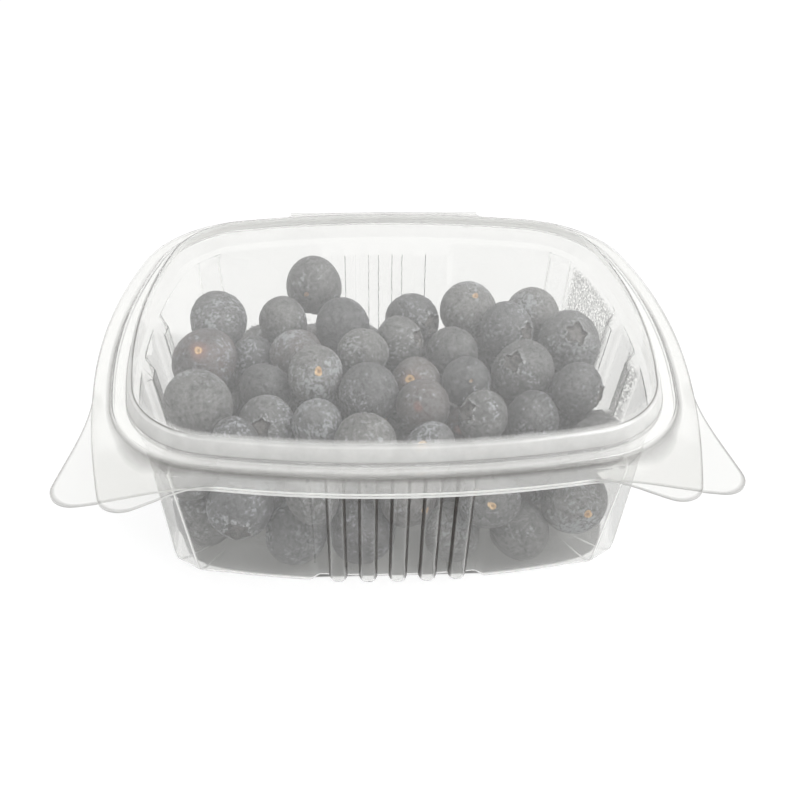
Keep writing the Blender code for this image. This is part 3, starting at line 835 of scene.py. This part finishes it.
def berry_skins(name, chosen, crown_rows, rows, columns, seed):
    """The skins of many berries in one mesh, each turned and set in its place in the heap."""
    centres, radii, facing, red, bloom, scar = (part[chosen] for part in HEAP)
    count = len(radii)
    draw = np.random.default_rng(seed)
    shapes, to_edge, to_scar = berry_shapes(draw, scar, crown_rows, rows, columns)
    turns = turned_to(facing, draw.uniform(0, 2 * np.pi, count))
    points = np.einsum("bij,bvj->bvi", turns, shapes)
    points = centres[:, None] + radii[:, None, None] * points
    levels = to_edge.shape[1]
    index = np.arange(levels * columns).reshape(levels, columns)
    after = np.roll(index, -1, axis=1)
    quads = np.stack([index[:-1], index[1:], after[1:], after[:-1]], axis=-1).reshape(-1, 4)
    crown_pole = np.full(columns, levels * columns)
    fans = np.concatenate([
        np.stack([crown_pole, index[0], after[0]], axis=-1),
        np.stack([crown_pole + 1, after[-1], index[-1]], axis=-1),
    ])
    shift = (np.arange(count) * (levels * columns + 2))[:, None, None]
    faces = ((quads[None] + shift).reshape(-1, 4), (fans[None] + shift).reshape(-1, 3))
    each = np.ones((count, levels * columns + 2))

    def with_poles(values, crown_end, scar_end):
        ends = np.broadcast_to([[crown_end, scar_end]], (count, 2))
        return np.concatenate([np.minimum(values, FAR_OFF).reshape(count, -1), ends], axis=1)

    berries = new_piece(name, points, faces, {
        "to_crown_edge": with_poles(to_edge, 0.0, FAR_OFF),
        "to_scar": with_poles(to_scar, FAR_OFF, 0.0),
        "redness": red[:, None] * each,
        "bloom": bloom[:, None] * each,
        "scar_plain": scar[:, None] * each,
        "tone": draw.uniform(0, 1, (count, 1)) * each,
    })
    berries.data.shade_smooth()
    return berries


BARE_SKIN = ((0.040, 0.040, 0.043), (0.065, 0.064, 0.063))
UNRIPE_RED = (0.155, 0.088, 0.082)
WAXY_SKIN = ((0.160, 0.162, 0.165), (0.245, 0.243, 0.236))
POWDER = (0.44, 0.46, 0.49)
CUP_BROWN = ((0.05, 0.048, 0.045), (0.16, 0.15, 0.14))
CROWN_RIM_SHADE = (0.035, 0.030, 0.026)
PETAL_GREY = (0.42, 0.43, 0.43)
SPECK_GREY = (0.52, 0.53, 0.54)
SCAR_HALO = (0.32, 0.14, 0.11)
CORK = ((0.42, 0.22, 0.09), (0.86, 0.62, 0.34))
SCAR_HOLLOW = (0.20, 0.11, 0.05)


def berry_skin():
    """Blue-black skin under a pale waxy bloom that is rubbed off in patches, streaks and flecks.

    From the bare skin outwards: redness where it is unripe, the film of wax, its powder, the brown
    cup with a dark rim of painted shade just inside the crown's edge and grey dry petals round it,
    pale specks near them, and the corky scar.
    """
    material, shader, place = new_finish("berry_skin", Specular_IOR_Level=0.4)
    crown, scar, red, bloom, plain, tone = (
        place.fact(name)
        for name in ("to_crown_edge", "to_scar", "redness", "bloom", "scar_plain", "tone")
    )
    clouds = place.noise(150.0, 2.0, 0.5)
    drifts = place.noise(105.0, 2.0, 0.5, 0.6)
    flecks = place.noise(640.0, 1.6, 0.65, 0.8)
    dust = place.noise(1350.0, 1.0, 0.6, 0.5)
    scratches = place.noise(300.0, 2.0, 0.6, 2.5)
    film = bloom * 0.7 + 0.8 * (clouds - 0.5) + 1.6 * (flecks - 0.5) + 1.8 * (dust - 0.5) + 0.25
    film = film.held() * (1 - 0.6 * scratches.rise(0.57, 0.66))
    powder = bloom * 0.6 + 2.4 * (drifts - 0.5) + 1.3 * (flecks - 0.5) + 2.4 * (dust - 0.5)
    powder = powder.rise(0.55, 1.15)
    skin = (red * clouds.rise(0.2, 0.8) * 0.9).mixed(tone.mixed(*BARE_SKIN), UNRIPE_RED)
    skin = (film * 0.85).mixed(skin, tone.mixed(*WAXY_SKIN))
    skin = (powder * 0.55).mixed(skin, POWDER)
    cup = flecks.rise(0.35, 0.65).mixed(*CUP_BROWN)
    skin = (crown.rise(1.0, 0.9) * 0.9).mixed(skin, cup)
    # Painted shade: a dark ring just inside the crown's edge.
    rim = crown.rise(1.0, 0.93) * crown.rise(0.70, 0.85)
    skin = (rim * 0.75).mixed(skin, CROWN_RIM_SHADE)
    petals = crown.rise(0.94, 1.02) * crown.rise(1.55, 1.08) * dust.rise(0.42, 0.58)
    skin = (petals * 0.5).mixed(skin, PETAL_GREY)
    specks = place.noise(1150.0, 2.0, 0.5).rise(0.60, 0.68)
    specks = specks * crown.rise(2.5, 1.3) * crown.rise(0.9, 1.1)
    skin = (specks * 0.6).mixed(skin, SPECK_GREY)
    halo = scar.rise(3.6, 1.0) * red.rise(0.3, 0.6) * 0.5
    skin = halo.mixed(skin, SCAR_HALO)
    corky = flecks.rise(0.3, 0.7).mixed(*CORK)
    shown = plain.rise(0.15, 0.8)
    skin = (scar.rise(1.25, 0.95) * shown * 0.95).mixed(skin, corky)
    skin = (scar.rise(0.55, 0.25) * shown * 0.7).mixed(skin, SCAR_HOLLOW)
    attach(skin, shader, "Base Color")
    attach(0.42 + 0.25 * film, shader, "Roughness")
    attach(place.bump(0.45, 0.00025, flecks), shader, "Normal")
    return material


HEAP = heap(seed=11)
BERRY_SKIN = berry_skin()
on_show = np.arange(len(HEAP[1])) < len(SHOWN)
for name, chosen, crown_rows, rows, columns, seed in (
    ("berries_on_top", on_show, 10, 14, 40, 3),
    ("berries_below", ~on_show, 7, 9, 25, 5),
):
    berries = berry_skins(name, chosen, crown_rows, rows, columns, seed)
    berries.data.materials.append(BERRY_SKIN)
    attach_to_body(berries, "tray")
    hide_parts("blueberries")

# ---------------------------------------------------------------------------------------------
# The lid: the same clear sheet, a flange like the tray's, a low ledge inside it, and a riser up to
# one flat panel. It is formed in one with the tray and turns on the thin strip along the back.
# ---------------------------------------------------------------------------------------------
LID_EAR = {"tip": np.array([56.3, -65.5]) * MM, "legs": (73.0, 153.0), "radius": 5.0 * MM}
LID_SECTION = [
    (3.6, 41.35, 0.0, 0.0, 0.0, 0.04),
    (4.3, 42.30, 0.0, 0.0, 0.0, 0.12),
    (7.35, 42.20, 0.0, 0.0, 0.0, 0.48),
    (8.25, 45.25, 0.0, 0.0, 0.0, 0.62),
    (8.9, 45.68, 0.0, 0.0, 0.0, 0.30),
    (10.5, 45.7, 0.0, 0.0, 0.0, 0.015),
]
LID_BENDS = np.array([0.4, 0.5, 0.5, 0.5]) * MM
# Lines of painted shade along the foot of the riser, the foot and slope of the bead, and the riser's
# top.
LID_SHADE_LINES = np.array([
    (7.40, 42.28, 0.16, 0.6, 0.6),
    (3.70, 41.45, 0.16, 0.6, 0.6),
    (8.90, 45.67, 0.09, 0.8, 0.0),
    (4.00, 41.90, 0.35, 0.0, 0.14),
]) * LINE_UNITS
LID_SHARES = (0.9, 0.78, 0.66, 0.54, 0.42, 0.3, 0.18, 0.06)
LEDGE = (4.4 * MM, 7.2 * MM)
LEDGE_HAZE = 0.20
section = full_section(LID_SECTION, LID_BENDS)
section[(section[:, 0] > LEDGE[0]) & (section[:, 0] < LEDGE[1]), 5] = LEDGE_HAZE
places = stations(fluted=False)
lid = formed_sheet("lid_sheet", section, places, LID_SHADE_LINES, LID_EAR, LID_SHARES, SHEET)
lid.data.materials.append(PLASTIC)
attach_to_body(lid, "lid")
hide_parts("lid")

# ---------------------------------------------------------------------------------------------
# The hinge: the sheet itself, pressed thin in one straight fold that joins the two leaves. On the
# real tub it bends double while the tub is shut and lies flat when the lid is right back; here it
# is built bent double, as while the tub is shut.
# ---------------------------------------------------------------------------------------------
HINGE_Y = TUB_Y + RIM_HALF_Y + HINGE_LEAF + PLY_GAP
FOLD_HALF = (PLY_GAP + SHEET) / 2
FOLD_SHEET = 0.25 * MM
TUCK = 0.1 * MM


def hinge_fold():
    """A sheet from the tray's leaf out to the fold line and back to the lid's.

    Its section is straight, then half round, then straight, and it runs all along the hinge.
    """
    x = np.linspace(-HINGE_HALF, HINGE_HALF, 61)
    leaf = TUB_Y + front_distance(x, 0.0) + HINGE_LEAF - TUCK
    bend = np.full(len(x), HINGE_Y - FOLD_HALF)
    swing = np.radians(np.linspace(-90, 90, 9))
    straight = [leaf, (leaf + bend) / 2]
    y = straight + [bend + FOLD_HALF * math.cos(angle) for angle in swing] + straight[::-1]
    level = [RIM_Z + FOLD_HALF * math.sin(angle) for angle in swing]
    z = [RIM_Z - FOLD_HALF] * 2 + level + [RIM_Z + FOLD_HALF] * 2
    grid = np.stack([np.stack([x, row, np.full(len(x), up)], axis=-1) for row, up in zip(y, z)])
    index = np.arange(len(y) * len(x)).reshape(len(y), len(x))
    quads = np.stack([index[:-1, :-1], index[:-1, 1:], index[1:, 1:], index[1:, :-1]], axis=-1)
    return thickened(new_piece("hinge_fold", grid, (quads.reshape(-1, 4),)), FOLD_SHEET)


hinge = hinge_fold()
hinge.data.materials.append(PLASTIC)
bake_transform(hinge)

# ---------------------------------------------------------------------------------------------
# The studio: a white sweep that glows so that it stays white around the tub, with a painted
# shadow under it, where its glow and its colour turn grey inside the outline of the tub's foot; a
# soft box over the back, whose reflection veils the lid, a stronger one at the right, and a grey
# room. The camera looks down at the front.
# ---------------------------------------------------------------------------------------------
SWEEP_HALF = 3.0
SWEEP_DROP = 0.2 * MM
GLOW = 0.84
PAINTED_SHADOW_GREY = (0.155, 0.155, 0.15)
SHADED_WHITE = ((0.14, 0.14, 0.14), (0.20, 0.20, 0.20))
WHITE = (1.0, 1.0, 1.0)
FOOT_HALF_X = 54.6 * MM
FOOT_HALF_Y = 43.8 * MM
FOOT_INSET = 15.0 * MM
FOOT_CORNERS = 16.0

square = np.array([(-1.0, -1.0, 0.0), (1.0, -1.0, 0.0), (1.0, 1.0, 0.0), (-1.0, 1.0, 0.0)])
sweep = new_piece("sweep", square * SWEEP_HALF, (np.array([(0, 1, 2, 3)]),))
finish, shader, place = new_finish("sweep_white", Roughness=0.9, Specular_IOR_Level=0.0)
shader.inputs["Emission Strength"].default_value = GLOW
across = place.math("ABSOLUTE", place.axis(0))
along = place.math("ABSOLUTE", place.axis(1) - TUB_Y)
past_ribs = place.math("MAXIMUM", across * across - FRONT_RECESS ** 2, 0.0)
bowed_x = (across + along * along / (2 * (SIDE_ARC - FOOT_INSET))) / FOOT_HALF_X
bowed_y = (along + past_ribs / (2 * (FRONT_ARC - FOOT_INSET))) / FOOT_HALF_Y
# Painted shadow: the sweep's glow and colour are grey inside the outline of the tub's foot and white
# beyond it.
beyond_painted_shadow = (bowed_x ** FOOT_CORNERS + bowed_y ** FOOT_CORNERS).rise(0.82, 1.0)
attach(beyond_painted_shadow.mixed(PAINTED_SHADOW_GREY, WHITE), shader, "Emission Color")
attach(beyond_painted_shadow.mixed(*SHADED_WHITE), shader, "Base Color")
sweep.data.materials.append(finish)
sweep.location.z = -SWEEP_DROP


def soft_box(name, place, aim, size, power):
    """A rectangular area lamp at a place, turned to face a point."""
    lamp = bpy.data.lights.new(name, "AREA")
    lamp.shape = "RECTANGLE"
    lamp.size, lamp.size_y = size
    lamp.energy = power
    box = bpy.data.objects.new(name, lamp)
    bpy.context.scene.collection.objects.link(box)
    box.location = place
    toward = np.array(place) - np.array(aim)
    flat = math.hypot(toward[0], toward[1])
    box.rotation_euler = (math.atan2(flat, toward[2]), 0.0, math.atan2(toward[0], -toward[1]))


AIM = (0.0, 0.0, 0.04)
soft_box("soft_box_back", (0.0, 1.1, 0.95), AIM, (1.5, 0.9), 1.8)
soft_box("soft_box_right", (0.80, -0.25, 1.15), AIM, (0.75, 0.6), 9.0)
world = bpy.data.worlds.new("grey_room")
world.use_nodes = True
backdrop = world.node_tree.nodes["Background"]
upward = Flow(world.node_tree.nodes.new("ShaderNodeTexCoord").outputs["Generated"]).axis(2)
seen = upward.node("ShaderNodeLightPath", output="Is Camera Ray")
room = upward.rise(0.0, 0.65) * 0.45 + 0.45
attach(seen.mixed(room, WHITE), backdrop, "Color")
bpy.context.scene.world = world

TILT, PAN, ROLL = math.radians(37.588), math.radians(-3.496), math.radians(1.323)
lens = bpy.data.cameras.new("camera")
lens.lens = 40.365
lens.clip_start = 0.01
camera = bpy.data.objects.new("camera", lens)
bpy.context.scene.collection.objects.link(camera)
camera.location = (-8.94 * MM, -183.06 * MM, 160.07 * MM)
camera.rotation_mode = "QUATERNION"


def turn(axis, angle):
    """A quaternion for a turn about one axis."""
    parts = [math.cos(angle / 2), 0.0, 0.0, 0.0]
    parts[axis] = math.sin(angle / 2)
    return type(camera.rotation_quaternion)(parts)


camera.rotation_quaternion = turn(3, PAN) @ turn(1, math.pi / 2 - TILT) @ turn(3, ROLL)
bpy.context.scene.camera = camera
bpy.context.scene.view_settings.view_transform = "Standard"
cycles = bpy.context.scene.cycles
cycles.max_bounces = 24
cycles.transmission_bounces = 20
cycles.glossy_bounces = 8
cycles.diffuse_bounces = 3
cycles.transparent_max_bounces = 32
